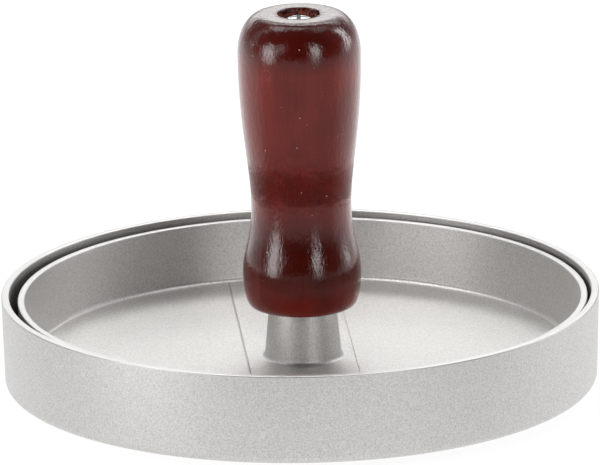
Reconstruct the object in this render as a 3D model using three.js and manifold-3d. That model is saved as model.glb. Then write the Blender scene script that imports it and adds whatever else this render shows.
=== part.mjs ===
// Patty press: a shallow cast-aluminium mould, a cast press plate that drops into it,
// and a turned wooden handle held on the plate's boss by one long screw.
// Millimetres, +Z up. The origin is the centre of the mould's underside, on the table.
import * as THREE from "three";
import { mergeVertices } from "three/addons/utils/BufferGeometryUtils.js";
import Module from "manifold-3d";

// ---- Driving dimensions -------------------------------------------------------------

// Mould: an open dish with a little draft on its wall.
const MOULD_RIM_RADIUS = 62.5;
const MOULD_FOOT_RADIUS = 62.0;
const MOULD_HEIGHT = 19;
const MOULD_WALL = 1.65;
const MOULD_FLOOR = 1.6;
const MOULD_OUTER_FILLET = 1.5;
const MOULD_INNER_FILLET = 1.2;

// Press plate: a second, smaller dish that stands loose inside the mould.
const PLATE_OFFSET_X = 0.5; // it rests a little to one side of its clearance
const PLATE_RIM_DROP = 1.15; // its rim is this far below the mould's rim
const PLATE_RIM_RADIUS = 59.6;
const PLATE_FOOT_RADIUS = 58.9;
const PLATE_WALL = 1.5;
const PLATE_FLOOR = 1.55;
const PLATE_FLOOR_RADIUS = 57.0;
const PLATE_OUTER_FILLET = 1.2;
const PLATE_INNER_FILLET = 1.0;
const RIM_ROUNDING = 0.3;

// Grill ribs on the mould's floor and on the plate's underside.
const RIB_HEIGHT = 0.9;
const RIB_FOOT_WIDTH = 2.6;
const RIB_TOP_WIDTH = 1.6;
const RIB_PITCH = 9;
const RIBS_EACH_SIDE = 5;
const RIB_CIRCLE_RADIUS = 53;
const RIB_ROOT = 0.4; // how far a rib runs down into the floor it is cast with

// Boss cast on the plate, which carries the handle.
const BOSS_FOOT_RADIUS = 8.0;
const BOSS_TOP_RADIUS = 7.0;
const BOSS_FILLET = 0.8;
const HANDLE_BOTTOM = 16.2;
const TAPPED_DEPTH = 7.5;
const TAPPED_CONE = 1.2;

// Handle. The outline stands upright at each bulge and at the waist, and "below" and "above" are
// how strongly its curve keeps to that direction on each side. Heights are above the table.
const HANDLE_TOP = 79;
const TOP_FLAT_RADIUS = 8.5;
const TOP_EDGE_PULL = { out: 1.55, down: 0.3 };
const UPPER_BULGE = { radius: 12.85, height: 70.5, below: 15.8, above: 5.4 };
const WAIST = { radius: 10.45, height: 38.6, below: 9.3, above: 6.9 };
const LOWER_BULGE = { radius: 12.35, height: 23.5, below: 5.9, above: 4.7 };
const BOTTOM_EDGE_PULL = 0.6;
const BOTTOM_FLAT_RADIUS = 10.6;
const BORE_RADIUS = 2.3;
const COUNTERBORE_RADIUS = 4.45;

// M4 pan-head screw and its washer.
const SCREW_RADIUS = 2.0;
const SCREW_LENGTH = 65;
const SCREW_POINT = 0.5;
const HEAD_RADIUS = 3.5;
const HEAD_HEIGHT = 2.6;
const HEAD_SIDE_HEIGHT = 0.9; // the upright side of the head, below its domed crown
const HEAD_DEPTH_BELOW_TOP = 0.75;
const RECESS_REACH = 2.2;
const RECESS_WIDTH = 0.95;
const RECESS_DEPTH = 1.7;
const RECESS_SIDE_DEPTH = 0.2; // how far its ends go straight down before they slope inwards
const WASHER_OUTER_RADIUS = 4.2;
const WASHER_INNER_RADIUS = 2.15;
const WASHER_THICKNESS = 0.8;

// Clearances between pieces.
const SEAT_GAP = 0.02; // between faces that are clamped or rest on each other
const REST_GAP = 0.05; // between the ribs of the plate and of the mould
const THREAD_GAP = 0.05; // radial, round the screw in the boss

// Fineness of round shapes.
const DISH_SEGMENTS = 72;
const HANDLE_SEGMENTS = 48;
const SCREW_SEGMENTS = 24;
const CURVE_STEPS = 7;
const FILLET_STEPS = 3;
const CROWN_STEPS = 4;

// ---- Heights worked out from the dimensions above -------------------------------------

const mouldRibTop = MOULD_FLOOR + RIB_HEIGHT;
const plateRibBottom = mouldRibTop + REST_GAP;
const plateUnderside = plateRibBottom + RIB_HEIGHT;
const plateFloorTop = plateUnderside + PLATE_FLOOR;
const plateRimTop = MOULD_HEIGHT - PLATE_RIM_DROP;
const bossTop = HANDLE_BOTTOM - SEAT_GAP;
const headTop = HANDLE_TOP - HEAD_DEPTH_BELOW_TOP;
const headUnderside = headTop - HEAD_HEIGHT;
const washerTop = headUnderside - SEAT_GAP;
const washerBottom = washerTop - WASHER_THICKNESS;
const counterboreFloor = washerBottom - SEAT_GAP;
const screwTip = headUnderside - SCREW_LENGTH;

// ---- Outlines -------------------------------------------------------------------------

const point = (radius, height) => new THREE.Vector2(radius, height);

// Points along an arc about (radius, height), from one angle to another in degrees.
function arc(radius, height, size, fromDegrees, toDegrees, steps = FILLET_STEPS) {
  const points = [];
  for (let i = 0; i <= steps; i++) {
    const degrees = fromDegrees + ((toDegrees - fromDegrees) * i) / steps;
    const angle = THREE.MathUtils.degToRad(degrees);
    points.push(point(radius + size * Math.cos(angle), height + size * Math.sin(angle)));
  }
  return points;
}

// Points along a smooth curve from start to end, leaving out the start itself.
function curve(start, startPull, endPull, end) {
  const bend = new THREE.CubicBezierCurve(
    point(...start),
    point(...startPull),
    point(...endPull),
    point(...end),
  );
  return bend.getPoints(CURVE_STEPS).slice(1);
}

// The outline between two stations of the handle, upright at both.
function upright(lower, upper) {
  return curve(
    [lower.radius, lower.height],
    [lower.radius, lower.height + lower.above],
    [upper.radius, upper.height - upper.below],
    [upper.radius, upper.height],
  );
}

// The domed crown of the screw's head, from its side to its middle.
function crown() {
  const points = [];
  const rise = HEAD_HEIGHT - HEAD_SIDE_HEIGHT;
  for (let i = 0; i < CROWN_STEPS; i++) {
    const angle = ((Math.PI / 2) * i) / CROWN_STEPS;
    points.push(point(HEAD_RADIUS * Math.cos(angle), headTop - rise * (1 - Math.sin(angle))));
  }
  return [...points, point(0, headTop)];
}

// ---- Solids ---------------------------------------------------------------------------

const wasm = await Module();
wasm.setup();

function toSolid(geometry) {
  const bare = geometry.clone();
  bare.deleteAttribute("normal");
  bare.deleteAttribute("uv");
  const merged = mergeVertices(bare, 1e-4);
  return new wasm.Manifold(
    new wasm.Mesh({
      numProp: 3,
      vertProperties: merged.attributes.position.array,
      triVerts: new Uint32Array(merged.index.array),
    }),
  );
}

function toGeometry(solid) {
  const mesh = solid.getMesh();
  const geometry = new THREE.BufferGeometry();
  geometry.setAttribute("position", new THREE.BufferAttribute(mesh.vertProperties, 3));
  geometry.setIndex(new THREE.BufferAttribute(mesh.triVerts, 1));
  geometry.computeVertexNormals();
  return geometry;
}

// A turned body about the Z axis from an outline of (radius, height) points.
function turned(outline, segments) {
  return new THREE.LatheGeometry(outline, segments).rotateX(Math.PI / 2);
}

// Parallel ribs along Y that end on a circle, standing on floorHeight and pointing up or down.
function ribs(floorHeight, direction) {
  const made = [];
  for (let i = -RIBS_EACH_SIDE; i <= RIBS_EACH_SIDE; i++) {
    const x = i * RIB_PITCH;
    const halfLength = Math.sqrt(RIB_CIRCLE_RADIUS ** 2 - x ** 2);
    const section = new THREE.Shape([
      point(-RIB_FOOT_WIDTH / 2, -RIB_ROOT),
      point(RIB_FOOT_WIDTH / 2, -RIB_ROOT),
      point(RIB_FOOT_WIDTH / 2, 0),
      point(RIB_TOP_WIDTH / 2, RIB_HEIGHT),
      point(-RIB_TOP_WIDTH / 2, RIB_HEIGHT),
      point(-RIB_FOOT_WIDTH / 2, 0),
    ]);
    const rib = new THREE.ExtrudeGeometry(section, { depth: 2 * halfLength, bevelEnabled: false });
    rib.translate(0, 0, -halfLength);
    rib.rotateX(direction === "up" ? Math.PI / 2 : -Math.PI / 2);
    rib.translate(x, 0, floorHeight);
    made.push(toSolid(rib));
  }
  return made;
}

function withRibs(geometry, floorHeight, direction) {
  let solid = toSolid(geometry);
  for (const rib of ribs(floorHeight, direction)) {
    solid = solid.add(rib);
  }
  return toGeometry(solid);
}

// ---- Pieces ---------------------------------------------------------------------------

function mouldGeometry() {
  const innerRim = MOULD_RIM_RADIUS - MOULD_WALL;
  const innerFoot = MOULD_FOOT_RADIUS - MOULD_WALL;
  const outline = [
    point(0, 0),
    ...arc(MOULD_FOOT_RADIUS - MOULD_OUTER_FILLET, MOULD_OUTER_FILLET, MOULD_OUTER_FILLET, -90, 0),
    ...arc(MOULD_RIM_RADIUS - RIM_ROUNDING, MOULD_HEIGHT - RIM_ROUNDING, RIM_ROUNDING, 0, 90),
    ...arc(innerRim + RIM_ROUNDING, MOULD_HEIGHT - RIM_ROUNDING, RIM_ROUNDING, 90, 180),
    ...arc(innerFoot - MOULD_INNER_FILLET, MOULD_FLOOR + MOULD_INNER_FILLET, MOULD_INNER_FILLET, 0, -90),
    point(0, MOULD_FLOOR),
  ];
  return withRibs(turned(outline, DISH_SEGMENTS), MOULD_FLOOR, "up");
}

function pressPlateGeometry() {
  const innerRim = PLATE_RIM_RADIUS - PLATE_WALL;
  const holeRadius = SCREW_RADIUS + THREAD_GAP;
  const holeBottom = bossTop - TAPPED_DEPTH;
  const filletCentre = plateFloorTop + BOSS_FILLET;
  const outline = [
    point(0, plateUnderside),
    ...arc(
      PLATE_FOOT_RADIUS - PLATE_OUTER_FILLET,
      plateUnderside + PLATE_OUTER_FILLET,
      PLATE_OUTER_FILLET,
      -90,
      0,
    ),
    ...arc(PLATE_RIM_RADIUS - RIM_ROUNDING, plateRimTop - RIM_ROUNDING, RIM_ROUNDING, 0, 90),
    ...arc(innerRim + RIM_ROUNDING, plateRimTop - RIM_ROUNDING, RIM_ROUNDING, 90, 180),
    ...arc(
      PLATE_FLOOR_RADIUS - PLATE_INNER_FILLET,
      plateFloorTop + PLATE_INNER_FILLET,
      PLATE_INNER_FILLET,
      0,
      -90,
    ),
    ...arc(BOSS_FOOT_RADIUS + BOSS_FILLET, filletCentre, BOSS_FILLET, 270, 180),
    point(BOSS_TOP_RADIUS, bossTop),
    point(holeRadius, bossTop),
    point(holeRadius, holeBottom),
    point(0, holeBottom - TAPPED_CONE),
  ];
  return withRibs(turned(outline, DISH_SEGMENTS), plateUnderside, "down");
}

function handleGeometry() {
  const outline = [
    point(BORE_RADIUS, HANDLE_BOTTOM),
    point(BOTTOM_FLAT_RADIUS, HANDLE_BOTTOM),
    ...curve(
      [BOTTOM_FLAT_RADIUS, HANDLE_BOTTOM],
      [BOTTOM_FLAT_RADIUS + BOTTOM_EDGE_PULL, HANDLE_BOTTOM],
      [LOWER_BULGE.radius, LOWER_BULGE.height - LOWER_BULGE.below],
      [LOWER_BULGE.radius, LOWER_BULGE.height],
    ),
    ...upright(LOWER_BULGE, WAIST),
    ...upright(WAIST, UPPER_BULGE),
    ...curve(
      [UPPER_BULGE.radius, UPPER_BULGE.height],
      [UPPER_BULGE.radius, UPPER_BULGE.height + UPPER_BULGE.above],
      [TOP_FLAT_RADIUS + TOP_EDGE_PULL.out, HANDLE_TOP - TOP_EDGE_PULL.down],
      [TOP_FLAT_RADIUS, HANDLE_TOP],
    ),
    point(COUNTERBORE_RADIUS, HANDLE_TOP),
    point(COUNTERBORE_RADIUS, counterboreFloor),
    point(BORE_RADIUS, counterboreFloor),
    point(BORE_RADIUS, HANDLE_BOTTOM),
  ];
  return turned(outline, HANDLE_SEGMENTS);
}

// One arm of the cross recess, a blade that narrows towards its bottom.
function recessBlade(turn) {
  const section = new THREE.Shape([
    point(-RECESS_REACH, RECESS_DEPTH),
    point(-RECESS_REACH, -RECESS_SIDE_DEPTH),
    point(-RECESS_WIDTH / 2, -RECESS_DEPTH),
    point(RECESS_WIDTH / 2, -RECESS_DEPTH),
    point(RECESS_REACH, -RECESS_SIDE_DEPTH),
    point(RECESS_REACH, RECESS_DEPTH),
  ]);
  const blade = new THREE.ExtrudeGeometry(section, { depth: RECESS_WIDTH, bevelEnabled: false });
  blade.translate(0, 0, -RECESS_WIDTH / 2);
  blade.rotateX(Math.PI / 2);
  blade.rotateZ(turn);
  blade.translate(0, 0, headTop);
  return toSolid(blade);
}

function screwGeometry() {
  const outline = [
    point(0, screwTip),
    point(SCREW_RADIUS - SCREW_POINT, screwTip),
    point(SCREW_RADIUS, screwTip + SCREW_POINT),
    point(SCREW_RADIUS, headUnderside),
    point(HEAD_RADIUS, headUnderside),
    ...crown(),
  ];
  const solid = toSolid(turned(outline, SCREW_SEGMENTS));
  return toGeometry(solid.subtract(recessBlade(0)).subtract(recessBlade(Math.PI / 2)));
}

function washerGeometry() {
  const outline = [
    point(WASHER_INNER_RADIUS, washerBottom),
    point(WASHER_OUTER_RADIUS, washerBottom),
    point(WASHER_OUTER_RADIUS, washerTop),
    point(WASHER_INNER_RADIUS, washerTop),
    point(WASHER_INNER_RADIUS, washerBottom),
  ];
  return turned(outline, SCREW_SEGMENTS);
}

// ---- Assembly -------------------------------------------------------------------------

const castAluminium = { color: 0xc9c7c3, roughness: 0.5, metalness: 1.0 };
const lacqueredWood = { color: 0x4c1714, roughness: 0.22, metalness: 0.0 };
const zincPlate = { color: 0xd6d8d8, roughness: 0.28, metalness: 1.0 };

function piece(name, geometry, finish) {
  const mesh = new THREE.Mesh(geometry, new THREE.MeshStandardMaterial(finish));
  mesh.name = name;
  return mesh;
}

const mould = piece("mould", mouldGeometry(), castAluminium);

// Everything that lifts out of the mould together.
const press = new THREE.Group();
press.position.x = PLATE_OFFSET_X;
press.add(
  piece("press_plate", pressPlateGeometry(), castAluminium),
  piece("handle", handleGeometry(), lacqueredWood),
  piece("handle_screw", screwGeometry(), zincPlate),
  piece("screw_washer", washerGeometry(), zincPlate),
);

const pattyPress = new THREE.Group();
pattyPress.add(mould, press);

export default pattyPress;
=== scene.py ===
import math

import bmesh
import bpy
from mathutils import Matrix, Vector, noise


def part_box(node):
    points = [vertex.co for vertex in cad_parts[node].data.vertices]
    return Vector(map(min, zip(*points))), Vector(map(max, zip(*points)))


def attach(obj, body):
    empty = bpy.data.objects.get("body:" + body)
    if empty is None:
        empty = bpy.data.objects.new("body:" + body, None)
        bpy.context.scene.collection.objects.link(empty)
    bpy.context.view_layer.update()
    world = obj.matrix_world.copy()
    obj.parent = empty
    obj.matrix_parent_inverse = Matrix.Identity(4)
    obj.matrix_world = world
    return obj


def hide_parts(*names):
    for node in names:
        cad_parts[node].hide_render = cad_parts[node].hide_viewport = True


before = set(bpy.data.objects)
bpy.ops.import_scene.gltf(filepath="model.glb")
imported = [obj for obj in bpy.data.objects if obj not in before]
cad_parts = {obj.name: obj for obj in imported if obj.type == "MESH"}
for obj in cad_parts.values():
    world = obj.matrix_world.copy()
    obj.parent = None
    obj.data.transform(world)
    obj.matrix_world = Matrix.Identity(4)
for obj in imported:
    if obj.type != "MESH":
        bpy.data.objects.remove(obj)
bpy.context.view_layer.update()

MM = 0.001


# ---- Places and sizes read from the frame -----------------------------------------------

mould_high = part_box("mould")[1]
plate_low, plate_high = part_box("press_plate")
handle_low, handle_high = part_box("handle")
screw_low, screw_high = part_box("handle_screw")
washer_low, washer_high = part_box("screw_washer")

MOULD_RADIUS = mould_high.x
MOULD_HEIGHT = mould_high.z
PLATE_AXIS_X = (plate_low.x + plate_high.x) / 2
PLATE_RADIUS = (plate_high.x - plate_low.x) / 2
PLATE_RIM_TOP = plate_high.z
PLATE_RIB_BOTTOM = plate_low.z
HANDLE_BOTTOM = handle_low.z
HANDLE_TOP = handle_high.z
GRIP_RADIUS = (handle_high.x - handle_low.x) / 2
SCREW_TIP = screw_low.z
HEAD_RADIUS = (screw_high.x - screw_low.x) / 2
WASHER_RADIUS = (washer_high.x - washer_low.x) / 2

# ---- Castings ---------------------------------------------------------------------------

MOULD_DRAFT = 0.5 * MM
MOULD_WALL = 1.65 * MM
MOULD_FLOOR = 1.6 * MM
MOULD_OUTER_FILLET = 1.5 * MM
MOULD_INNER_FILLET = 1.2 * MM

PLATE_DRAFT = 0.7 * MM
PLATE_WALL = 1.5 * MM
PLATE_FLOOR = 1.55 * MM
PLATE_FLOOR_RADIUS = 57.0 * MM
PLATE_OUTER_FILLET = 1.2 * MM
PLATE_INNER_FILLET = 1.0 * MM
RIM_ROUNDING = 0.3 * MM

BOSS_FOOT_RADIUS = 8.0 * MM
BOSS_TOP_RADIUS = 7.0 * MM
BOSS_FILLET = 0.8 * MM
SEAT_GAP = 0.02 * MM
TAPPED_RADIUS = 2.05 * MM
TAPPED_DEPTH = 7.5 * MM
TAPPED_CONE = 1.2 * MM

RIB_HEIGHT = 0.9 * MM
RIB_FOOT_HALF_WIDTH = 1.3 * MM
RIB_TOP_HALF_WIDTH = 0.8 * MM
RIB_PITCH = 9 * MM
RIBS_EACH_SIDE = 5
RIB_CIRCLE_RADIUS = 53 * MM
RIB_ROOT = 0.4 * MM
RIB_END_STEPS = 10

# A rib's section from its root up: (half width, height above the floor).
RIB_SECTION = (
    (RIB_FOOT_HALF_WIDTH, -RIB_ROOT),
    (RIB_FOOT_HALF_WIDTH, 0.0),
    (RIB_FOOT_HALF_WIDTH - 0.18 * MM, 0.2 * RIB_HEIGHT),
    (RIB_TOP_HALF_WIDTH + 0.12 * MM, 0.75 * RIB_HEIGHT),
    (RIB_TOP_HALF_WIDTH, 0.93 * RIB_HEIGHT),
    (RIB_TOP_HALF_WIDTH - 0.2 * MM, RIB_HEIGHT),
)

# Witness lines of the die insert, across the plate's upper face. A point of the floor counts as
# part of a line when it is nearer to it than this share of the line's own depth or half width.
WITNESS_REACH = 0.3
WITNESS_TURN = math.radians(4.0)
WITNESS_CENTRE_X = -0.6 * MM
WITNESS_SPACING = 22.7 * MM
WITNESS_LEFT = {"half_width": 0.22 * MM, "depth": 0.32 * MM}
WITNESS_RIGHT = {"half_width": 0.12 * MM, "depth": 0.12 * MM}

# ---- Handle, screw and washer -----------------------------------------------------------

TOP_FLAT_RADIUS = 7.4 * MM
CROWN_RADIUS = 5.5 * MM
CROWN_TURN = math.radians(15)
CROWN_PULL = 1.5 * MM
BOTTOM_FLAT_RADIUS = 10.6 * MM
BOTTOM_EDGE_PULL = 0.6 * MM
BORE_RADIUS = 2.3 * MM
COUNTERBORE_RADIUS = 4.45 * MM

# Where the handle is widest and narrowest, and how far its curve keeps upright on each side.
UPPER_BULGE = {"radius": GRIP_RADIUS, "height": 70.5 * MM, "below": 15.8 * MM, "above": 5.4 * MM}
WAIST = {"radius": 10.45 * MM, "height": 38.6 * MM, "below": 9.3 * MM, "above": 6.9 * MM}
LOWER_BULGE = {"radius": 12.35 * MM, "height": 23.5 * MM, "below": 5.9 * MM, "above": 4.7 * MM}

# The bead of lacquer round the counterbore's mouth, and the torn grain of its wall.
LIP_WIDTH = 0.5 * MM
LIP_HEIGHT = 0.08 * MM
LIP_CREST_REACH = 0.4 * LIP_WIDTH
LIP_CREST_DROP = 0.02 * MM
LIP_INNER_DROP = 0.05 * MM
LIP_UNEVENNESS = 0.05 * MM
TORN_LENGTH = 6 * MM
TORN_RADIUS = COUNTERBORE_RADIUS + 1.6 * LIP_WIDTH
WALL_RADII = (WASHER_RADIUS, COUNTERBORE_RADIUS + 0.1 * LIP_WIDTH)
COARSE_TEARS = {"count": 5, "depth": 0.24 * MM}
FINE_TEARS = {"count": 14, "depth": 0.16 * MM}

SHANK_RADIUS = 2.0 * MM
SCREW_POINT = 0.5 * MM
THREAD_PITCH = 0.7 * MM
THREAD_DEPTH = 0.36 * MM
THREAD_LENGTH = 38 * MM
THREAD_STEEPNESS = 1.15
THREAD_CREST = 0.1
THREAD_START = 0.995

# The pan head's outline: (inset from the head's radius, height above its underside).
HEAD_HEIGHT = 2.6 * MM
HEAD_EDGE = (0.15 * MM, 0)
HEAD_SIDE_PULLS = ((-0.05 * MM, 0.4 * MM), (0, 1.1 * MM))
HEAD_SHOULDER = (0.3 * MM, 1.65 * MM)
HEAD_SHOULDER_PULL = (0.8 * MM, 2.35 * MM)
HEAD_CROWN_PULL = (0.55 * HEAD_RADIUS, HEAD_HEIGHT)
HEAD_CROWN = (HEAD_RADIUS, HEAD_HEIGHT)

# The driver recess: half the width of a blade, and (reach, height above the head's top).
RECESS_DEPTH = 1.7 * MM
BLADE_HALF_WIDTH = 0.45 * MM
BLADE_TAPER = 0.8
BLADE_LEVELS = (
    (2.3 * MM, 1.0 * MM),
    (2.1 * MM, 0.0),
    (1.0 * MM, -0.7 * RECESS_DEPTH),
    (0.55 * MM, -RECESS_DEPTH),
)

WASHER_HOLE_RADIUS = 2.15 * MM
WASHER_EDGE = 0.12 * MM

# ---- Surfaces ---------------------------------------------------------------------------

# Colours are linear. A ramp is a row of (noise value, colour or grey). SIZE is how far across a
# feature is, and DEPTH is how far its relief reaches.

CASTING_SPECKLE_SIZE = 0.32 * MM
CASTING_SPECKLE_DEPTH = 0.035 * MM
CASTING_TONES = ((0.30, (0.62, 0.61, 0.595)), (0.52, (0.79, 0.78, 0.76)), (0.7, (0.90, 0.89, 0.87)))
CASTING_ROUGHNESS = ((0.3, 0.52), (0.7, 0.40))
CASTING_CLOUD_SIZE = 14 * MM
CASTING_CLOUDS = ((0.3, 0.985), (0.7, 1.0))
CASTING_PIT_SIZE = 0.9 * MM
CASTING_PIT_DEPTH = 0.04 * MM
CASTING_PITS = ((0.24, 0.0), (0.3, 1.0))

# The rims are burnished by use: not at all below the first of these heights, measured from the
# rim, and fully above the second.
WORN_HEIGHTS = (-0.45 * MM, -0.1 * MM)
WORN_TONE = (0.83, 0.82, 0.81)
WORN_ROUGHNESS = (0.42, 0.42, 0.42)

# Painted shade darkens the mould's inside, where it shows in the gap round the press plate: less below
# the first of these heights, measured from its floor, than above the second.
INSIDE_PAINTED_SHADE = (0.48, 0.47, 0.46)
INSIDE_SHADE_HEIGHTS = (0.5 * MM, 4 * MM)
INSIDE_SHADE_STRENGTH = ((0.0, 0.3), (1.0, 1.0))
INSIDE_SHADE_EDGE = 0.1 * MM

WOOD_STREAK_SIZE = 0.32 * MM
WOOD_TONES = (
    (0.2, (0.145, 0.0100, 0.0055)),
    (0.5, (0.175, 0.0130, 0.0068)),
    (0.8, (0.205, 0.0155, 0.0080)),
)
WOOD_ROUGHNESS = ((0.3, 0.5), (0.7, 0.38))
WOOD_BAND_SIZE = 3.5 * MM
WOOD_BANDS = ((0.3, (0.7, 0.68, 0.7)), (0.7, 1.0))
WOOD_PORE_SIZE = 0.4 * MM
WOOD_PORES = ((0.3, 0.78), (0.7, 1.0))
STAIN_PATCH_SIZE = 13 * MM
STAIN_PATCHES = ((0.35, (0.65, 0.55, 0.6)), (0.65, (1.08, 1.05, 1.0)))

# Tints multiplied into the wood by height, from the handle's foot (0) to its top (1). The dips are
# painted shade where the handle faces up, on the upper side of the lower bulge and under the top; the
# foot is lighter and warmer.
TINTS_AND_PAINTED_SHADE_BY_HEIGHT = (
    (0.0, (1.25, 1.2, 0.9)),
    (0.07, (0.8, 0.7, 0.7)),
    (0.13, (0.46, 0.6, 0.6)),
    (0.24, (0.42, 0.55, 0.6)),
    (0.36, (0.95, 0.95, 1.0)),
    (0.83, (1.0, 1.0, 1.0)),
    (0.9, (0.5, 0.55, 0.6)),
    (1.0, (0.36, 0.45, 0.55)),
)

# Dark stain runs raggedly over the edge of the counterbore, whose wall is otherwise bare.
DRIP_SIZE = 1.3 * MM
DRIP_LENGTH = 1.6 * MM
DRIP_EDGE = 0.3 * MM
DRIPS = ((0.35, 0.0), (0.65, 1.0))
BARE_WOOD_TONES = ((0.3, (0.16, 0.028, 0.016)), (0.7, (0.28, 0.05, 0.025)))

# A ragged band just above the waist, where a darker tint and less coat paint a dark reflection: its
# lower and upper edge, and how far each of them fades into the band and out of it.
DARK_REFLECTION_BAND = (40.4 * MM, 47.0 * MM)
DARK_REFLECTION_INNER_FADE = (2.2 * MM, 0.8 * MM)
DARK_REFLECTION_OUTER_FADE = (0.8 * MM, 3.2 * MM)
DARK_REFLECTION_RAG_SIZE = 3 * MM
DARK_REFLECTION_RAG_LENGTH = 2.5 * MM
DARK_REFLECTION_RAGS = ((0.35, 0.0), (0.65, 1.0))
DARK_REFLECTION_TINT = (0.68, 0.7, 0.7)
DARK_REFLECTION_COAT_WEIGHT = 0.5

# The lacquer is thick: it swells, has small lumps, and has caught a few specks of dust, whose pale tone
# is a painted glint.
LACQUER_ROUGHNESS = 0.12
LACQUER_IOR = 1.41
SWELL_SIZE = 5 * MM
SWELL_DEPTH = 0.35 * MM
LUMP_SIZE = 0.75 * MM
LUMP_DEPTH = 0.08 * MM
NIB_SIZE = 0.8 * MM
NIB_DEPTH = 0.15 * MM
NIBS_AND_GLINTS = ((0.8, 0.0), (0.815, 1.0))
NIB_GLINT_TONE = (0.5, 0.4, 0.36)

ZINC_MARK_SIZE = 0.25 * MM
ZINC_MARK_DEPTH = 0.01 * MM
ZINC_TONES = ((0.3, (0.62, 0.65, 0.67)), (0.7, (0.86, 0.88, 0.88)))
ZINC_ROUGHNESS = ((0.3, 0.34), (0.7, 0.2))

# ---- Fineness ---------------------------------------------------------------------------

DISH_SEGMENTS = 320
HANDLE_SEGMENTS = 192
SCREW_SEGMENTS = 64
ROWS_PER_TURN = 8
FILLET_STEPS = 10
CURVE_STEPS = 28
HEAD_STEPS = 8
CROWN_STEPS = 12
EDGE_STEPS = 4
SHORT_STEPS = 3
COUNTERBORE_STEPS = 14
TOLERANCE = 1e-7
SHARP_ANGLE = math.radians(35)

# ---- Studio -----------------------------------------------------------------------------

SENSOR_WIDTH = 36
CAMERA_DISTANCE = 2.5
CAMERA_ELEVATION = math.radians(16.62)
CAMERA_PIVOT_HEIGHT = 10.4 * MM
CAMERA_AIM = Vector((0.15 * MM, 0, 31.55 * MM))
CAMERA_LENS = 716.8
CAMERA_ROLL = math.radians(0.8)
CAMERA_CLIP = (0.1, 50)


# ========================================================================================
# Camera
# ========================================================================================


def make_camera():
    """A long lens in front of the press, a little above it, turned a little about its axis."""
    data = bpy.data.cameras.new("camera")
    data.sensor_width = SENSOR_WIDTH
    data.lens = CAMERA_LENS
    data.clip_start, data.clip_end = CAMERA_CLIP
    camera = bpy.data.objects.new("camera", data)
    bpy.context.scene.collection.objects.link(camera)
    back = Vector((0, -math.cos(CAMERA_ELEVATION), math.sin(CAMERA_ELEVATION)))
    place = Vector((0, 0, CAMERA_PIVOT_HEIGHT)) + back * CAMERA_DISTANCE
    turn = (CAMERA_AIM - place).to_track_quat("-Z", "Y").to_matrix().to_4x4()
    camera.matrix_world = (
        Matrix.Translation(place) @ turn @ Matrix.Rotation(-CAMERA_ROLL, 4, "Z")
    )
    bpy.context.scene.camera = camera


make_camera()


# ========================================================================================
# Outlines and meshes
# ========================================================================================


def arc(radius, height, size, start, end, steps=FILLET_STEPS):
    """Points (radius, height) along an arc, from one angle to another in degrees."""
    points = []
    for i in range(steps + 1):
        angle = math.radians(start + (end - start) * i / steps)
        points.append((radius + size * math.cos(angle), height + size * math.sin(angle)))
    return points


def curve(start, start_pull, end_pull, end, steps=CURVE_STEPS):
    """Points along a cubic curve, leaving out its start."""
    points = []
    for i in range(1, steps + 1):
        t = i / steps
        weights = ((1 - t) ** 3, 3 * (1 - t) ** 2 * t, 3 * (1 - t) * t * t, t**3)
        knots = (start, start_pull, end_pull, end)
        points.append(tuple(sum(w * k[axis] for w, k in zip(weights, knots)) for axis in (0, 1)))
    return points


def between(start, end, steps):
    """Points on a straight line, leaving out its start."""
    return [
        (start[0] + (end[0] - start[0]) * i / steps, start[1] + (end[1] - start[1]) * i / steps)
        for i in range(1, steps + 1)
    ]


def new_object(name, bm):
    """A smooth-shaded object from a bmesh, which is freed."""
    bmesh.ops.recalc_face_normals(bm, faces=bm.faces)
    mesh = bpy.data.meshes.new(name)
    bm.to_mesh(mesh)
    bm.free()
    shade(mesh)
    made = bpy.data.objects.new(name, mesh)
    bpy.context.scene.collection.objects.link(made)
    return made


def shade(mesh):
    """Smooth shading that keeps creases sharp."""
    mesh.polygons.foreach_set("use_smooth", [True] * len(mesh.polygons))
    mesh.set_sharp_from_angle(angle=SHARP_ANGLE)


def turned(outline, segments, centre_x=0.0, closed=False, reshape=None):
    """A bmesh turned about a vertical axis from (radius, height) points.

    reshape(radius, height, angle) may return another radius and height for a point.
    """
    bm = bmesh.new()
    rings = []
    for radius, height in outline:
        if radius < TOLERANCE:
            rings.append([bm.verts.new((centre_x, 0, height))])
            continue
        ring = []
        for i in range(segments):
            angle = 2 * math.pi * i / segments
            r, z = reshape(radius, height, angle) if reshape else (radius, height)
            ring.append(bm.verts.new((centre_x + r * math.cos(angle), r * math.sin(angle), z)))
        rings.append(ring)
    pairs = list(zip(rings, rings[1:]))
    if closed:
        pairs.append((rings[-1], rings[0]))
    for lower, upper in pairs:
        for i in range(segments):
            j = (i + 1) % segments
            if len(lower) == 1:
                bm.faces.new((lower[0], upper[i], upper[j]))
            elif len(upper) == 1:
                bm.faces.new((lower[i], upper[0], lower[j]))
            else:
                bm.faces.new((lower[i], upper[i], upper[j], lower[j]))
    return bm


def combine(target, tool, operation):
    """Joins tool to target, or cuts it away, and removes tool."""
    modifier = target.modifiers.new("combine", "BOOLEAN")
    modifier.operation = operation
    modifier.solver = "EXACT"
    modifier.object = tool
    bpy.context.view_layer.update()
    graph = bpy.context.evaluated_depsgraph_get()
    result = bpy.data.meshes.new_from_object(target.evaluated_get(graph))
    target.modifiers.clear()
    target.data = result
    shade(result)
    bpy.data.objects.remove(tool)


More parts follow.
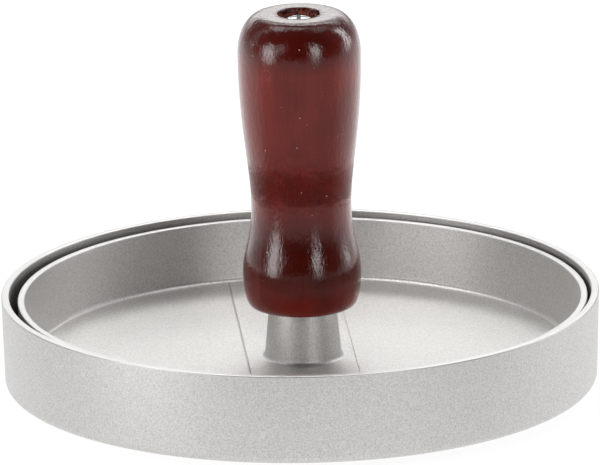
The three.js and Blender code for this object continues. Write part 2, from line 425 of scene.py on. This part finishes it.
def rib_block(floor_height, direction, centre_x):
    """Every grill rib as one bmesh: round-ended bars along Y with a softened top edge."""
    bm = bmesh.new()
    for i in range(-RIBS_EACH_SIDE, RIBS_EACH_SIDE + 1):
        x = i * RIB_PITCH
        half_length = math.sqrt(RIB_CIRCLE_RADIUS**2 - x * x) - 2 * RIB_FOOT_HALF_WIDTH
        rings = []
        for half_width, rise in RIB_SECTION:
            ring = []
            for side in (1, -1):
                for k in range(RIB_END_STEPS + 1):
                    angle = math.pi * k / RIB_END_STEPS
                    px = side * half_width * math.cos(angle)
                    py = side * (half_length + half_width * math.sin(angle))
                    height = floor_height + direction * rise
                    ring.append(bm.verts.new((centre_x + x + px, py, height)))
            rings.append(ring)
        count = len(rings[0])
        for lower, upper in zip(rings, rings[1:]):
            for k in range(count):
                n = (k + 1) % count
                bm.faces.new((lower[k], lower[n], upper[n], upper[k]))
        bm.faces.new(rings[0])
        bm.faces.new(rings[-1])
    return bm


# ========================================================================================
# Materials
# ========================================================================================


# The colour sockets of a mix node, by index: its number sockets have the same names.
MIX_FIRST = 6
MIX_SECOND = 7
MIX_RESULT = 2


def set_stops(ramp, stops):
    """Gives a ramp node its stops, each a value with a colour or a grey."""
    elements = ramp.color_ramp.elements
    while len(elements) < len(stops):
        elements.new(0.5)
    for element, (value, colour) in zip(elements, stops):
        element.position = value
        element.color = (*colour, 1) if isinstance(colour, tuple) else (colour,) * 3 + (1,)


class Shader:
    """A node material whose shader is one Principled BSDF."""

    def __init__(self, name):
        self.material = bpy.data.materials.new(name)
        self.material.use_nodes = True
        self.nodes = self.material.node_tree.nodes
        self.links = self.material.node_tree.links
        self.bsdf = self.nodes["Principled BSDF"]
        self.place = self.nodes.new("ShaderNodeTexCoord").outputs["Object"]

    def set(self, **values):
        """Sets inputs of the BSDF by name, with an underscore for each space."""
        for name, value in values.items():
            self.bsdf.inputs[name.replace("_", " ")].default_value = value

    def link(self, source, target):
        self.links.new(source, target)

    def stretched(self, x, y, z):
        """The place on the object, scaled along each axis."""
        node = self.nodes.new("ShaderNodeMapping")
        node.inputs["Scale"].default_value = (x, y, z)
        self.link(self.place, node.inputs["Vector"])
        return node.outputs["Vector"]

    def noise(self, size, detail=2.0, roughness=0.5, vector=None, distortion=0.0):
        """Cloudy noise whose features are about size metres across."""
        node = self.nodes.new("ShaderNodeTexNoise")
        node.inputs["Scale"].default_value = 1 / size
        node.inputs["Detail"].default_value = detail
        node.inputs["Roughness"].default_value = roughness
        node.inputs["Distortion"].default_value = distortion
        self.link(vector or self.place, node.inputs["Vector"])
        return node.outputs["Fac"]

    def ramp(self, source, *stops):
        """Colours or greys by value: stops are (value, colour)."""
        node = self.nodes.new("ShaderNodeValToRGB")
        set_stops(node, stops)
        self.link(source, node.inputs["Fac"])
        return node.outputs["Color"]

    def blend(self, mode, factor, first, second):
        """Blends two sockets or colours. The factor is a socket or a number."""
        node = self.nodes.new("ShaderNodeMix")
        node.data_type = "RGBA"
        node.blend_type = mode
        if isinstance(factor, float):
            node.inputs["Factor"].default_value = factor
        else:
            self.link(factor, node.inputs["Factor"])
        for index, value in ((MIX_FIRST, first), (MIX_SECOND, second)):
            if isinstance(value, tuple):
                node.inputs[index].default_value = (*value, 1)
            else:
                self.link(value, node.inputs[index])
        return node.outputs[MIX_RESULT]

    def step(self, source, start, end, smooth=True):
        """0 at start and 1 at end, with an even or a smooth rise between them."""
        node = self.nodes.new("ShaderNodeMapRange")
        node.interpolation_type = "SMOOTHSTEP" if smooth else "LINEAR"
        node.inputs["From Min"].default_value = start
        node.inputs["From Max"].default_value = end
        self.link(source, node.inputs["Value"])
        return node.outputs["Result"]

    def add(self, value, extra, size):
        """value plus extra times size."""
        node = self.nodes.new("ShaderNodeMath")
        node.operation = "MULTIPLY_ADD"
        self.link(extra, node.inputs[0])
        node.inputs[1].default_value = size
        self.link(value, node.inputs[2])
        return node.outputs[0]

    def height_above(self, level):
        """Height above a level, in metres."""
        split = self.nodes.new("ShaderNodeSeparateXYZ")
        self.link(self.place, split.inputs[0])
        node = self.nodes.new("ShaderNodeMath")
        node.operation = "SUBTRACT"
        self.link(split.outputs["Z"], node.inputs[0])
        node.inputs[1].default_value = level
        return node.outputs[0]

    def radius(self, centre_x=0.0):
        """Distance from an upright axis, in metres."""
        node = self.nodes.new("ShaderNodeVectorMath")
        node.operation = "DISTANCE"
        self.link(self.stretched(1.0, 1.0, 0.0), node.inputs[0])
        node.inputs[1].default_value = (centre_x, 0, 0)
        return node.outputs["Value"]

    def bump(self, height, distance, strength=1.0, below=None):
        """A normal for a relief of that many metres, laid over the normal below."""
        node = self.nodes.new("ShaderNodeBump")
        node.inputs["Distance"].default_value = distance
        node.inputs["Strength"].default_value = strength
        self.link(height, node.inputs["Height"])
        if below:
            self.link(below, node.inputs["Normal"])
        return node.outputs["Normal"]


def cast_aluminium(name, rim_height, shaded_radius):
    """Bead-blasted casting: speckled, burnished on its rim, and darkened within a radius by painted
    shade.
    """
    s = Shader(name)
    speckle = s.noise(CASTING_SPECKLE_SIZE, detail=2.0, roughness=0.7)
    clouds = s.ramp(s.noise(CASTING_CLOUD_SIZE, detail=2.0), *CASTING_CLOUDS)
    tone = s.blend("MULTIPLY", 1.0, s.ramp(speckle, *CASTING_TONES), clouds)
    worn = s.step(s.height_above(rim_height), *WORN_HEIGHTS)
    tone = s.blend("MIX", worn, tone, WORN_TONE)
    # Painted shade on the mould's inside, where its wall shows in the gap round the press plate.
    edge = (shaded_radius + INSIDE_SHADE_EDGE, shaded_radius - INSIDE_SHADE_EDGE)
    up_wall = s.step(s.height_above(MOULD_FLOOR), *INSIDE_SHADE_HEIGHTS)
    inside_shade = s.blend(
        "MULTIPLY", 1.0, s.step(s.radius(), *edge), s.ramp(up_wall, *INSIDE_SHADE_STRENGTH)
    )
    s.link(s.blend("MULTIPLY", inside_shade, tone, INSIDE_PAINTED_SHADE), s.bsdf.inputs["Base Color"])
    grain = s.ramp(speckle, *CASTING_ROUGHNESS)
    s.link(s.blend("MIX", worn, grain, WORN_ROUGHNESS), s.bsdf.inputs["Roughness"])
    fine = s.bump(speckle, CASTING_SPECKLE_DEPTH, strength=0.55)
    pits = s.ramp(s.noise(CASTING_PIT_SIZE, detail=1.0), *CASTING_PITS)
    s.link(s.bump(pits, CASTING_PIT_DEPTH, strength=0.35, below=fine), s.bsdf.inputs["Normal"])
    s.set(Metallic=1.0)
    return s.material


def wood_with_painted_shade(s, height):
    """Colour and roughness of the wood under its stain, streaked along the handle, with painted shade
    by height.
    """
    streaks = s.noise(WOOD_STREAK_SIZE, detail=4.0, roughness=0.65, vector=s.stretched(1.0, 1.0, 0.05))
    bands = s.noise(WOOD_BAND_SIZE, detail=2.0, vector=s.stretched(1.0, 1.0, 0.22))
    patches = s.noise(STAIN_PATCH_SIZE, detail=2.0, distortion=0.6)
    pores = s.noise(WOOD_PORE_SIZE, detail=3.0, roughness=0.7)
    wood = s.ramp(streaks, *WOOD_TONES)
    wood = s.blend("MULTIPLY", 0.5, wood, s.ramp(bands, *WOOD_BANDS))
    wood = s.blend("MULTIPLY", 0.8, wood, s.ramp(patches, *STAIN_PATCHES))
    wood = s.blend("MULTIPLY", 1.0, wood, s.ramp(pores, *WOOD_PORES))
    share = s.step(height, HANDLE_BOTTOM, HANDLE_TOP, smooth=False)
    # Painted shade where the handle faces up, on the lower bulge and under the top; a lighter, warmer
    # foot.
    wood = s.blend("MULTIPLY", 1.0, wood, s.ramp(share, *TINTS_AND_PAINTED_SHADE_BY_HEIGHT))
    drips = s.ramp(s.noise(DRIP_SIZE, detail=3.0, roughness=0.7), *DRIPS)
    bare = s.blend(
        "MULTIPLY",
        1.0,
        s.step(s.radius(PLATE_AXIS_X), COUNTERBORE_RADIUS + DRIP_EDGE, COUNTERBORE_RADIUS),
        s.step(s.add(height, drips, DRIP_LENGTH), HANDLE_TOP, HANDLE_TOP - DRIP_EDGE),
    )
    wood = s.blend("MIX", bare, wood, s.ramp(bands, *BARE_WOOD_TONES))
    return wood, s.ramp(streaks, *WOOD_ROUGHNESS)


def painted_dark_reflection(s, height):
    """1 in the ragged band of painted dark reflection, and 0 elsewhere."""
    stretched = s.stretched(1.0, 1.0, 3.5)
    rags = s.noise(DARK_REFLECTION_RAG_SIZE, detail=4.0, roughness=0.65, vector=stretched)
    uneven = s.add(height, s.ramp(rags, *DARK_REFLECTION_RAGS), DARK_REFLECTION_RAG_LENGTH)
    low, high = DARK_REFLECTION_BAND
    above = s.step(uneven, low - DARK_REFLECTION_OUTER_FADE[0], low + DARK_REFLECTION_INNER_FADE[0])
    below = s.step(uneven, high + DARK_REFLECTION_OUTER_FADE[1], high - DARK_REFLECTION_INNER_FADE[1])
    return s.blend("MULTIPLY", 1.0, above, below)


def lacquered_wood():
    """Red-brown hardwood with a stain, darker at its ends by painted shade, under gloss lacquer with
    lumps and dust specks.
    """
    s = Shader("lacquered_wood")
    height = s.height_above(0.0)
    wood, roughness = wood_with_painted_shade(s, height)
    dark_band = painted_dark_reflection(s, height)
    nibs_and_glints = s.ramp(s.noise(NIB_SIZE, detail=1.0, roughness=0.3), *NIBS_AND_GLINTS)
    # The darker tint in the band above the waist is a painted dark reflection.
    wood = s.blend("MULTIPLY", dark_band, wood, DARK_REFLECTION_TINT)
    # The pale tone of the dust specks is a painted glint.
    wood = s.blend("MIX", nibs_and_glints, wood, NIB_GLINT_TONE)
    s.link(wood, s.bsdf.inputs["Base Color"])
    s.link(roughness, s.bsdf.inputs["Roughness"])
    # Less coat in the band above the waist, as part of the painted dark reflection.
    s.link(s.ramp(dark_band, (0.0, 1.0), (1.0, DARK_REFLECTION_COAT_WEIGHT)), s.bsdf.inputs["Coat Weight"])

    swells = s.noise(SWELL_SIZE, detail=1.0)
    lumps = s.noise(LUMP_SIZE, detail=3.0, roughness=0.6, vector=s.stretched(1.0, 1.0, 0.45))
    lacquer = s.bump(swells, SWELL_DEPTH, strength=0.15)
    lacquer = s.bump(lumps, LUMP_DEPTH, strength=1.0, below=lacquer)
    lacquer = s.bump(nibs_and_glints, NIB_DEPTH, strength=0.9, below=lacquer)
    s.link(lacquer, s.bsdf.inputs["Normal"])
    s.link(lacquer, s.bsdf.inputs["Coat Normal"])
    s.set(Specular_IOR_Level=0.0, Coat_Roughness=LACQUER_ROUGHNESS, Coat_IOR=LACQUER_IOR)
    return s.material


def zinc_plate():
    """Bright zinc plating with fine marks and a faint blue cast."""
    s = Shader("zinc_plate")
    marks = s.noise(ZINC_MARK_SIZE, detail=3.0, roughness=0.6)
    s.link(s.ramp(marks, *ZINC_TONES), s.bsdf.inputs["Base Color"])
    s.link(s.ramp(marks, *ZINC_ROUGHNESS), s.bsdf.inputs["Roughness"])
    s.link(s.bump(marks, ZINC_MARK_DEPTH, strength=0.4), s.bsdf.inputs["Normal"])
    s.set(Metallic=1.0)
    return s.material


MOULD_ALUMINIUM = cast_aluminium("mould_aluminium", MOULD_HEIGHT, MOULD_RADIUS - MOULD_WALL)
PLATE_ALUMINIUM = cast_aluminium("plate_aluminium", PLATE_RIM_TOP, 0.0)
WOOD = lacquered_wood()
ZINC = zinc_plate()


def finish_piece(piece, material, body, node):
    """Gives a finished mesh its material and its body, and hides the CAD part it stands for."""
    piece.data.materials.clear()
    piece.data.materials.append(material)
    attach(piece, body)
    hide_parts(node)


# ========================================================================================
# Mould
# ========================================================================================


def make_mould():
    """The dish that holds the meat, ribbed inside."""
    foot = MOULD_RADIUS - MOULD_DRAFT
    inner_rim = MOULD_RADIUS - MOULD_WALL
    inner_foot = foot - MOULD_WALL
    rim = MOULD_HEIGHT - RIM_ROUNDING
    outline = [(0, 0)]
    outline += arc(foot - MOULD_OUTER_FILLET, MOULD_OUTER_FILLET, MOULD_OUTER_FILLET, -90, 0)
    outline += arc(MOULD_RADIUS - RIM_ROUNDING, rim, RIM_ROUNDING, 0, 90)
    outline += arc(inner_rim + RIM_ROUNDING, rim, RIM_ROUNDING, 90, 180)
    outline += arc(
        inner_foot - MOULD_INNER_FILLET, MOULD_FLOOR + MOULD_INNER_FILLET, MOULD_INNER_FILLET, 0, -90
    )
    outline += [(0, MOULD_FLOOR)]
    mould = new_object("mould_casting", turned(outline, DISH_SEGMENTS))
    combine(mould, new_object("mould_ribs", rib_block(MOULD_FLOOR, 1, 0.0)), "UNION")
    finish_piece(mould, MOULD_ALUMINIUM, "mould", "mould")


# ========================================================================================
# Press plate
# ========================================================================================


def cut_witness_line(bm, floor_height, offset, half_width, depth):
    """Sinks a fine groove along a straight line across the plate's upper face."""
    along = Vector((-math.sin(WITNESS_TURN), math.cos(WITNESS_TURN), 0))
    across = Vector((along.y, -along.x, 0))
    middle = Vector((PLATE_AXIS_X + WITNESS_CENTRE_X, 0, floor_height)) + across * offset

    def on_floor(vert):
        return abs(vert.co.z - floor_height) < WITNESS_REACH * depth

    for shift in (-half_width, 0, half_width):
        faces = [f for f in bm.faces if all(on_floor(v) for v in f.verts)]
        edges = {e for f in faces for e in f.edges}
        verts = {v for f in faces for v in f.verts}
        bmesh.ops.bisect_plane(
            bm,
            geom=[*faces, *edges, *verts],
            plane_co=middle + across * shift,
            plane_no=across,
            dist=TOLERANCE,
        )
    for vert in bm.verts:
        distance = abs((vert.co - middle).dot(across))
        if on_floor(vert) and distance < WITNESS_REACH * half_width:
            vert.co.z -= depth


def make_press_plate():
    """The plate that presses the meat, ribbed below, with the boss for the handle."""
    underside = PLATE_RIB_BOTTOM + RIB_HEIGHT
    floor = underside + PLATE_FLOOR
    foot = PLATE_RADIUS - PLATE_DRAFT
    inner_rim = PLATE_RADIUS - PLATE_WALL
    rim = PLATE_RIM_TOP - RIM_ROUNDING
    boss_top = HANDLE_BOTTOM - SEAT_GAP
    hole_bottom = boss_top - TAPPED_DEPTH
    outline = [(0, underside)]
    outline += arc(
        foot - PLATE_OUTER_FILLET, underside + PLATE_OUTER_FILLET, PLATE_OUTER_FILLET, -90, 0
    )
    outline += arc(PLATE_RADIUS - RIM_ROUNDING, rim, RIM_ROUNDING, 0, 90)
    outline += arc(inner_rim + RIM_ROUNDING, rim, RIM_ROUNDING, 90, 180)
    outline += arc(
        PLATE_FLOOR_RADIUS - PLATE_INNER_FILLET, floor + PLATE_INNER_FILLET, PLATE_INNER_FILLET, 0, -90
    )
    outline += arc(BOSS_FOOT_RADIUS + BOSS_FILLET, floor + BOSS_FILLET, BOSS_FILLET, 270, 180)
    outline += arc(
        BOSS_TOP_RADIUS - RIM_ROUNDING, boss_top - RIM_ROUNDING, RIM_ROUNDING, 0, 90, EDGE_STEPS
    )
    outline += [(TAPPED_RADIUS, boss_top), (TAPPED_RADIUS, hole_bottom), (0, hole_bottom - TAPPED_CONE)]
    bm = turned(outline, DISH_SEGMENTS, centre_x=PLATE_AXIS_X)
    cut_witness_line(bm, floor, -WITNESS_SPACING / 2, **WITNESS_LEFT)
    cut_witness_line(bm, floor, WITNESS_SPACING / 2, **WITNESS_RIGHT)
    plate = new_object("press_plate_casting", bm)
    ribs = new_object("press_plate_ribs", rib_block(underside, -1, PLATE_AXIS_X))
    combine(plate, ribs, "UNION")
    finish_piece(plate, PLATE_ALUMINIUM, "press", "press_plate")


# ========================================================================================
# Handle
# ========================================================================================


def rough_lip(radius, height, angle):
    """Lacquer bead and torn grain round the counterbore; the rest of the handle stays round."""
    near_mouth = height > HANDLE_TOP - TORN_LENGTH and radius < TORN_RADIUS
    if not near_mouth:
        return radius, height
    ring = Vector((math.cos(angle), math.sin(angle), 0))
    coarse = noise.noise(ring * COARSE_TEARS["count"] + Vector((0, 0, height / MM)))
    fine = noise.noise(ring * FINE_TEARS["count"] + Vector((3, 7, 2 * height / MM)))
    on_wall = WALL_RADII[0] < radius < WALL_RADII[1]
    if on_wall:
        radius += COARSE_TEARS["depth"] * coarse + FINE_TEARS["depth"] * fine
    if height > HANDLE_TOP - 2 * LIP_HEIGHT:
        height = min(height + LIP_UNEVENNESS * fine, HANDLE_TOP)
    return radius, height


def bend_up(lower, upper):
    """The outline from one widest or narrowest place of the handle up to the next."""
    return curve(
        (lower["radius"], lower["height"]),
        (lower["radius"], lower["height"] + lower["above"]),
        (upper["radius"], upper["height"] - upper["below"]),
        (upper["radius"], upper["height"]),
    )


def make_handle():
    """The turned grip, with its bore and its counterbore for the screw's head."""
    seat = washer_low.z - SEAT_GAP
    flat = HANDLE_TOP - LIP_HEIGHT
    turn = math.degrees(CROWN_TURN)
    crown = arc(TOP_FLAT_RADIUS, flat - CROWN_RADIUS, CROWN_RADIUS, 90 - turn, 90)
    crown_edge = crown[0]
    foot = (LOWER_BULGE["radius"], LOWER_BULGE["height"])
    shoulder = (UPPER_BULGE["radius"], UPPER_BULGE["height"])
    outline = [(BORE_RADIUS, HANDLE_BOTTOM), (BOTTOM_FLAT_RADIUS, HANDLE_BOTTOM)]
    outline += curve(
        outline[-1],
        (BOTTOM_FLAT_RADIUS + BOTTOM_EDGE_PULL, HANDLE_BOTTOM),
        (foot[0], foot[1] - LOWER_BULGE["below"]),
        foot,
    )
    outline += bend_up(LOWER_BULGE, WAIST)
    outline += bend_up(WAIST, UPPER_BULGE)
    outline += curve(
        shoulder,
        (shoulder[0], shoulder[1] + UPPER_BULGE["above"]),
        (
            crown_edge[0] + CROWN_PULL * math.cos(CROWN_TURN),
            crown_edge[1] - CROWN_PULL * math.sin(CROWN_TURN),
        ),
        crown_edge,
    )
    outline += crown[1:]
    lip_outer = (COUNTERBORE_RADIUS + LIP_WIDTH, flat)
    lip_crest = (COUNTERBORE_RADIUS + LIP_CREST_REACH, HANDLE_TOP - LIP_CREST_DROP)
    lip_inner = (COUNTERBORE_RADIUS, flat - LIP_INNER_DROP)
    outline += between(outline[-1], lip_outer, EDGE_STEPS)
    outline += between(lip_outer, lip_crest, SHORT_STEPS)
    outline += between(lip_crest, lip_inner, SHORT_STEPS)
    outline += between(lip_inner, (COUNTERBORE_RADIUS, seat), COUNTERBORE_STEPS)
    outline += between(outline[-1], (BORE_RADIUS, seat), SHORT_STEPS)
    bm = turned(outline, HANDLE_SEGMENTS, centre_x=PLATE_AXIS_X, closed=True, reshape=rough_lip)
    handle = new_object("turned_handle", bm)
    finish_piece(handle, WOOD, "press", "handle")


# ========================================================================================
# Screw and washer
# ========================================================================================


def threaded(radius, height, angle):
    """A helical thread on the lower part of the shank."""
    thread_top = SCREW_TIP + THREAD_LENGTH
    on_shank = 0.9 * SHANK_RADIUS < radius < 1.01 * SHANK_RADIUS
    if on_shank and height < thread_top:
        phase = (height / THREAD_PITCH - angle / (2 * math.pi)) % 1
        crest = abs(2 * phase - 1)
        fade = min(1, (thread_top - height) / THREAD_PITCH)
        flank = min(1, max(0, THREAD_STEEPNESS * crest - THREAD_CREST))
        radius -= THREAD_DEPTH * fade * flank
    return radius, height


def recess_cutter(top):
    """A four-bladed driver tip, narrowing downwards."""
    bm = bmesh.new()
    rings = []
    for reach, above_top in BLADE_LEVELS:
        ring = []
        half = min(BLADE_HALF_WIDTH, BLADE_TAPER * reach)
        for quarter in range(4):
            turn = Matrix.Rotation(quarter * math.pi / 2, 3, "Z")
            for corner in ((half, -half), (reach, -half), (reach, half)):
                spot = turn @ Vector((*corner, 0))
                ring.append(bm.verts.new((PLATE_AXIS_X + spot.x, spot.y, top + above_top)))
        rings.append(ring)
    for upper, lower in zip(rings, rings[1:]):
        for k in range(len(upper)):
            n = (k + 1) % len(upper)
            bm.faces.new((upper[k], upper[n], lower[n], lower[k]))
    bm.faces.new(rings[0])
    bm.faces.new(rings[-1])
    return bm


def make_screw():
    """The pan-head screw, with its thread and its cross recess."""
    underside = washer_high.z + SEAT_GAP

    def on_head(spot):
        return (HEAD_RADIUS - spot[0], underside + spot[1])

    thread_rows = int(THREAD_LENGTH / THREAD_PITCH * ROWS_PER_TURN)
    outline = [
        (0, SCREW_TIP),
        (SHANK_RADIUS - SCREW_POINT, SCREW_TIP),
        (THREAD_START * SHANK_RADIUS, SCREW_TIP + SCREW_POINT),
    ]
    outline += between(outline[-1], (SHANK_RADIUS, SCREW_TIP + THREAD_LENGTH), thread_rows)
    outline += between(outline[-1], (SHANK_RADIUS, underside), SHORT_STEPS)
    outline += [on_head(HEAD_EDGE)]
    outline += curve(
        outline[-1],
        on_head(HEAD_SIDE_PULLS[0]),
        on_head(HEAD_SIDE_PULLS[1]),
        on_head(HEAD_SHOULDER),
        HEAD_STEPS,
    )
    outline += curve(
        outline[-1],
        on_head(HEAD_SHOULDER_PULL),
        on_head(HEAD_CROWN_PULL),
        on_head(HEAD_CROWN),
        CROWN_STEPS,
    )
    bm = turned(outline, SCREW_SEGMENTS, centre_x=PLATE_AXIS_X, reshape=threaded)
    screw = new_object("pan_head_screw", bm)
    combine(screw, new_object("driver_tip", recess_cutter(underside + HEAD_HEIGHT)), "DIFFERENCE")
    finish_piece(screw, ZINC, "press", "handle_screw")


def make_washer():
    """The flat washer under the screw's head."""
    low, high = washer_low.z, washer_high.z
    e = WASHER_EDGE
    outline = arc(WASHER_RADIUS - e, low + e, e, -90, 0, EDGE_STEPS)
    outline += arc(WASHER_RADIUS - e, high - e, e, 0, 90, EDGE_STEPS)
    outline += arc(WASHER_HOLE_RADIUS + e, high - e, e, 90, 180, EDGE_STEPS)
    outline += arc(WASHER_HOLE_RADIUS + e, low + e, e, 180, 270, EDGE_STEPS)
    bm = turned(outline, SCREW_SEGMENTS, centre_x=PLATE_AXIS_X, closed=True)
    washer = new_object("flat_washer", bm)
    finish_piece(washer, ZINC, "washer", "screw_washer")


make_mould()
make_press_plate()
make_handle()
make_screw()
make_washer()


# ========================================================================================
# Studio
# ========================================================================================

LIGHT_TARGET = Vector((0, 0, 40 * MM))
LIGHT_DISTANCE = 1.6
LIGHT_PEAK = 2.0  # times the light's mean brightness

# Soft boxes round the press: (name, azimuth, elevation, width, height, mean brightness), with
# angles in degrees. Azimuth 0 is the camera's side and 90 is to its right.
SOFT_BOXES = (
    ("key_behind", 168, 44, 66, 20, 2.1),
    ("backdrop", 180, 19, 60, 15, 0.36),
    ("overhead", 180, 84, 22, 22, 2.3),
    ("high_left", -112, 66, 38, 29, 2.4),
    ("high_right", 100, 66, 38, 29, 0.9),
    ("front_left", -60, 8, 38, 31, 1.9),
    ("front_left_wing", -36, 20, 16, 26, 1.6),
    ("front_right", 31, 17, 20, 32, 2.4),
    ("side_right", 104, 6, 38, 25, 1.1),
    ("rim_right", 111, 28, 9, 29, 1.5),
    ("rim_left", -101, 26, 8, 31, 0.9),
    ("back_left", -150, 14, 40, 40, 0.25),
)

# Lights that only the lacquered handle and the screw receive, for the reflections in them.
GLOSS_BOXES = (
    ("glint_left", -60, 6, 30, 42, 3.1),
    ("glint_right", 31, 12, 18, 46, 3.0),
    ("arc_left", -101, 26, 9, 50, 5.5),
    ("arc_right", 108, 22, 11, 56, 8.0),
    ("edge_left", -122, -14, 100, 56, 0.45),
    ("edge_right", 122, -14, 100, 56, 0.45),
    ("sheen_behind", 180, 18, 90, 22, 1.3),
)


def soft_box(name, azimuth, elevation, width, height, brightness, receivers=None):
    """An oval light that faces the press, at its brightest in the middle and fading to its edge."""
    a, e = math.radians(azimuth), math.radians(elevation)
    towards = Vector((math.sin(a) * math.cos(e), -math.cos(a) * math.cos(e), math.sin(e)))
    data = bpy.data.lights.new(name, "AREA")
    data.shape = "ELLIPSE"
    data.size = 2 * LIGHT_DISTANCE * math.tan(math.radians(width / 2))
    data.size_y = 2 * LIGHT_DISTANCE * math.tan(math.radians(height / 2))
    area = math.pi / 4 * data.size * data.size_y
    data.energy = brightness * math.pi * area
    data.use_nodes = True
    nodes, links = data.node_tree.nodes, data.node_tree.links
    spot = nodes.new("ShaderNodeMapping")
    # The place on the light, from -1 to 1 each way, and the square of its distance from the middle.
    spot.inputs["Location"].default_value = (-1, -1, 0)
    spot.inputs["Scale"].default_value = (2, 2, 0)
    links.new(nodes.new("ShaderNodeNewGeometry").outputs["Parametric"], spot.inputs["Vector"])
    square = nodes.new("ShaderNodeVectorMath")
    square.operation = "DOT_PRODUCT"
    links.new(spot.outputs["Vector"], square.inputs[0])
    links.new(spot.outputs["Vector"], square.inputs[1])
    falloff = nodes.new("ShaderNodeMath")
    falloff.operation = "MULTIPLY_ADD"
    links.new(square.outputs["Value"], falloff.inputs[0])
    falloff.inputs[1].default_value = -LIGHT_PEAK
    falloff.inputs[2].default_value = LIGHT_PEAK
    links.new(falloff.outputs[0], nodes["Emission"].inputs["Strength"])
    light = bpy.data.objects.new(name, data)
    light.location = LIGHT_TARGET + towards * LIGHT_DISTANCE
    light.rotation_euler = (-towards).to_track_quat("-Z", "Y").to_euler()
    light.visible_camera = False
    if receivers:
        light.light_linking.receiver_collection = receivers
    bpy.context.scene.collection.objects.link(light)


# Brightness of the studio round the press by direction, from the camera's side (-1) to the far
# side (1): of the table below the horizon, and of the air above it.
TABLE_BRIGHTNESS = ((-0.9, 0.86), (-0.2, 0.78), (0.4, 0.82), (0.9, 1.0))
HORIZON_HAZE = (-0.16, 0.05)
AIR_BRIGHTNESS = ((-0.7, 0.02), (-0.2, 0.12), (0.3, 0.25), (0.9, 0.45))


def make_world():
    """A pale studio, dark round the camera and bright behind the press."""
    world = bpy.data.worlds.new("studio")
    bpy.context.scene.world = world
    world.use_nodes = True
    nodes, links = world.node_tree.nodes, world.node_tree.links
    split = nodes.new("ShaderNodeSeparateXYZ")
    links.new(nodes.new("ShaderNodeTexCoord").outputs["Generated"], split.inputs[0])
    depth = nodes.new("ShaderNodeMapRange")
    depth.inputs["From Min"].default_value = -1
    links.new(split.outputs["Y"], depth.inputs["Value"])
    brightest = max(level for _, level in TABLE_BRIGHTNESS + AIR_BRIGHTNESS)

    def by_depth(levels):
        ramp = nodes.new("ShaderNodeValToRGB")
        set_stops(ramp, [((place + 1) / 2, level / brightest) for place, level in levels])
        links.new(depth.outputs["Result"], ramp.inputs["Fac"])
        return ramp.outputs["Color"]

    height = nodes.new("ShaderNodeMapRange")
    height.interpolation_type = "SMOOTHSTEP"
    height.inputs["From Min"].default_value = HORIZON_HAZE[0]
    height.inputs["From Max"].default_value = HORIZON_HAZE[1]
    links.new(split.outputs["Z"], height.inputs["Value"])
    mix = nodes.new("ShaderNodeMix")
    mix.data_type = "RGBA"
    links.new(height.outputs["Result"], mix.inputs["Factor"])
    links.new(by_depth(TABLE_BRIGHTNESS), mix.inputs[MIX_FIRST])
    links.new(by_depth(AIR_BRIGHTNESS), mix.inputs[MIX_SECOND])

    surround = nodes["Background"]
    surround.inputs["Strength"].default_value = brightest
    links.new(mix.outputs[MIX_RESULT], surround.inputs["Color"])
    backdrop = nodes.new("ShaderNodeBackground")
    backdrop.inputs["Color"].default_value = (1, 1, 1, 1)
    choice = nodes.new("ShaderNodeMixShader")
    links.new(nodes.new("ShaderNodeLightPath").outputs["Is Camera Ray"], choice.inputs[0])
    links.new(surround.outputs[0], choice.inputs[1])
    links.new(backdrop.outputs[0], choice.inputs[2])
    links.new(choice.outputs[0], nodes["World Output"].inputs["Surface"])


# Most of the floor's white is its own glow, so only a faint shade shows under the press.
FLOOR_HALF_WIDTH = 12.0
FLOOR_DROP = 0.02 * MM
FLOOR_GREY = (0.3, 0.3, 0.3, 1)
FLOOR_GLOW = 0.85


def make_floor():
    """A plain pale floor that shows only to a camera above it."""
    bm = bmesh.new()
    bmesh.ops.create_grid(bm, x_segments=1, y_segments=1, size=FLOOR_HALF_WIDTH)
    floor = new_object("studio_floor", bm)
    floor.location.z = -FLOOR_DROP
    s = Shader("pale_floor")
    s.set(Base_Color=FLOOR_GREY, Roughness=1.0, Specular_IOR_Level=0.0)
    s.set(Emission_Color=(1, 1, 1, 1), Emission_Strength=FLOOR_GLOW)
    above_only = s.nodes.new("ShaderNodeMixShader")
    s.link(s.nodes.new("ShaderNodeNewGeometry").outputs["Backfacing"], above_only.inputs[0])
    s.link(s.bsdf.outputs[0], above_only.inputs[1])
    s.link(s.nodes.new("ShaderNodeBsdfTransparent").outputs[0], above_only.inputs[2])
    s.link(above_only.outputs[0], s.nodes["Material Output"].inputs["Surface"])
    floor.data.materials.append(s.material)
    floor.visible_glossy = False
    floor.visible_diffuse = False
    floor.visible_shadow = False


for box in SOFT_BOXES:
    soft_box(*box)
glossy = bpy.data.collections.new("glossy")
for name in ("turned_handle", "pan_head_screw"):
    glossy.objects.link(bpy.data.objects[name])
for box in GLOSS_BOXES:
    soft_box(*box, receivers=glossy)
make_world()
make_floor()
bpy.context.scene.view_settings.view_transform = "Standard"
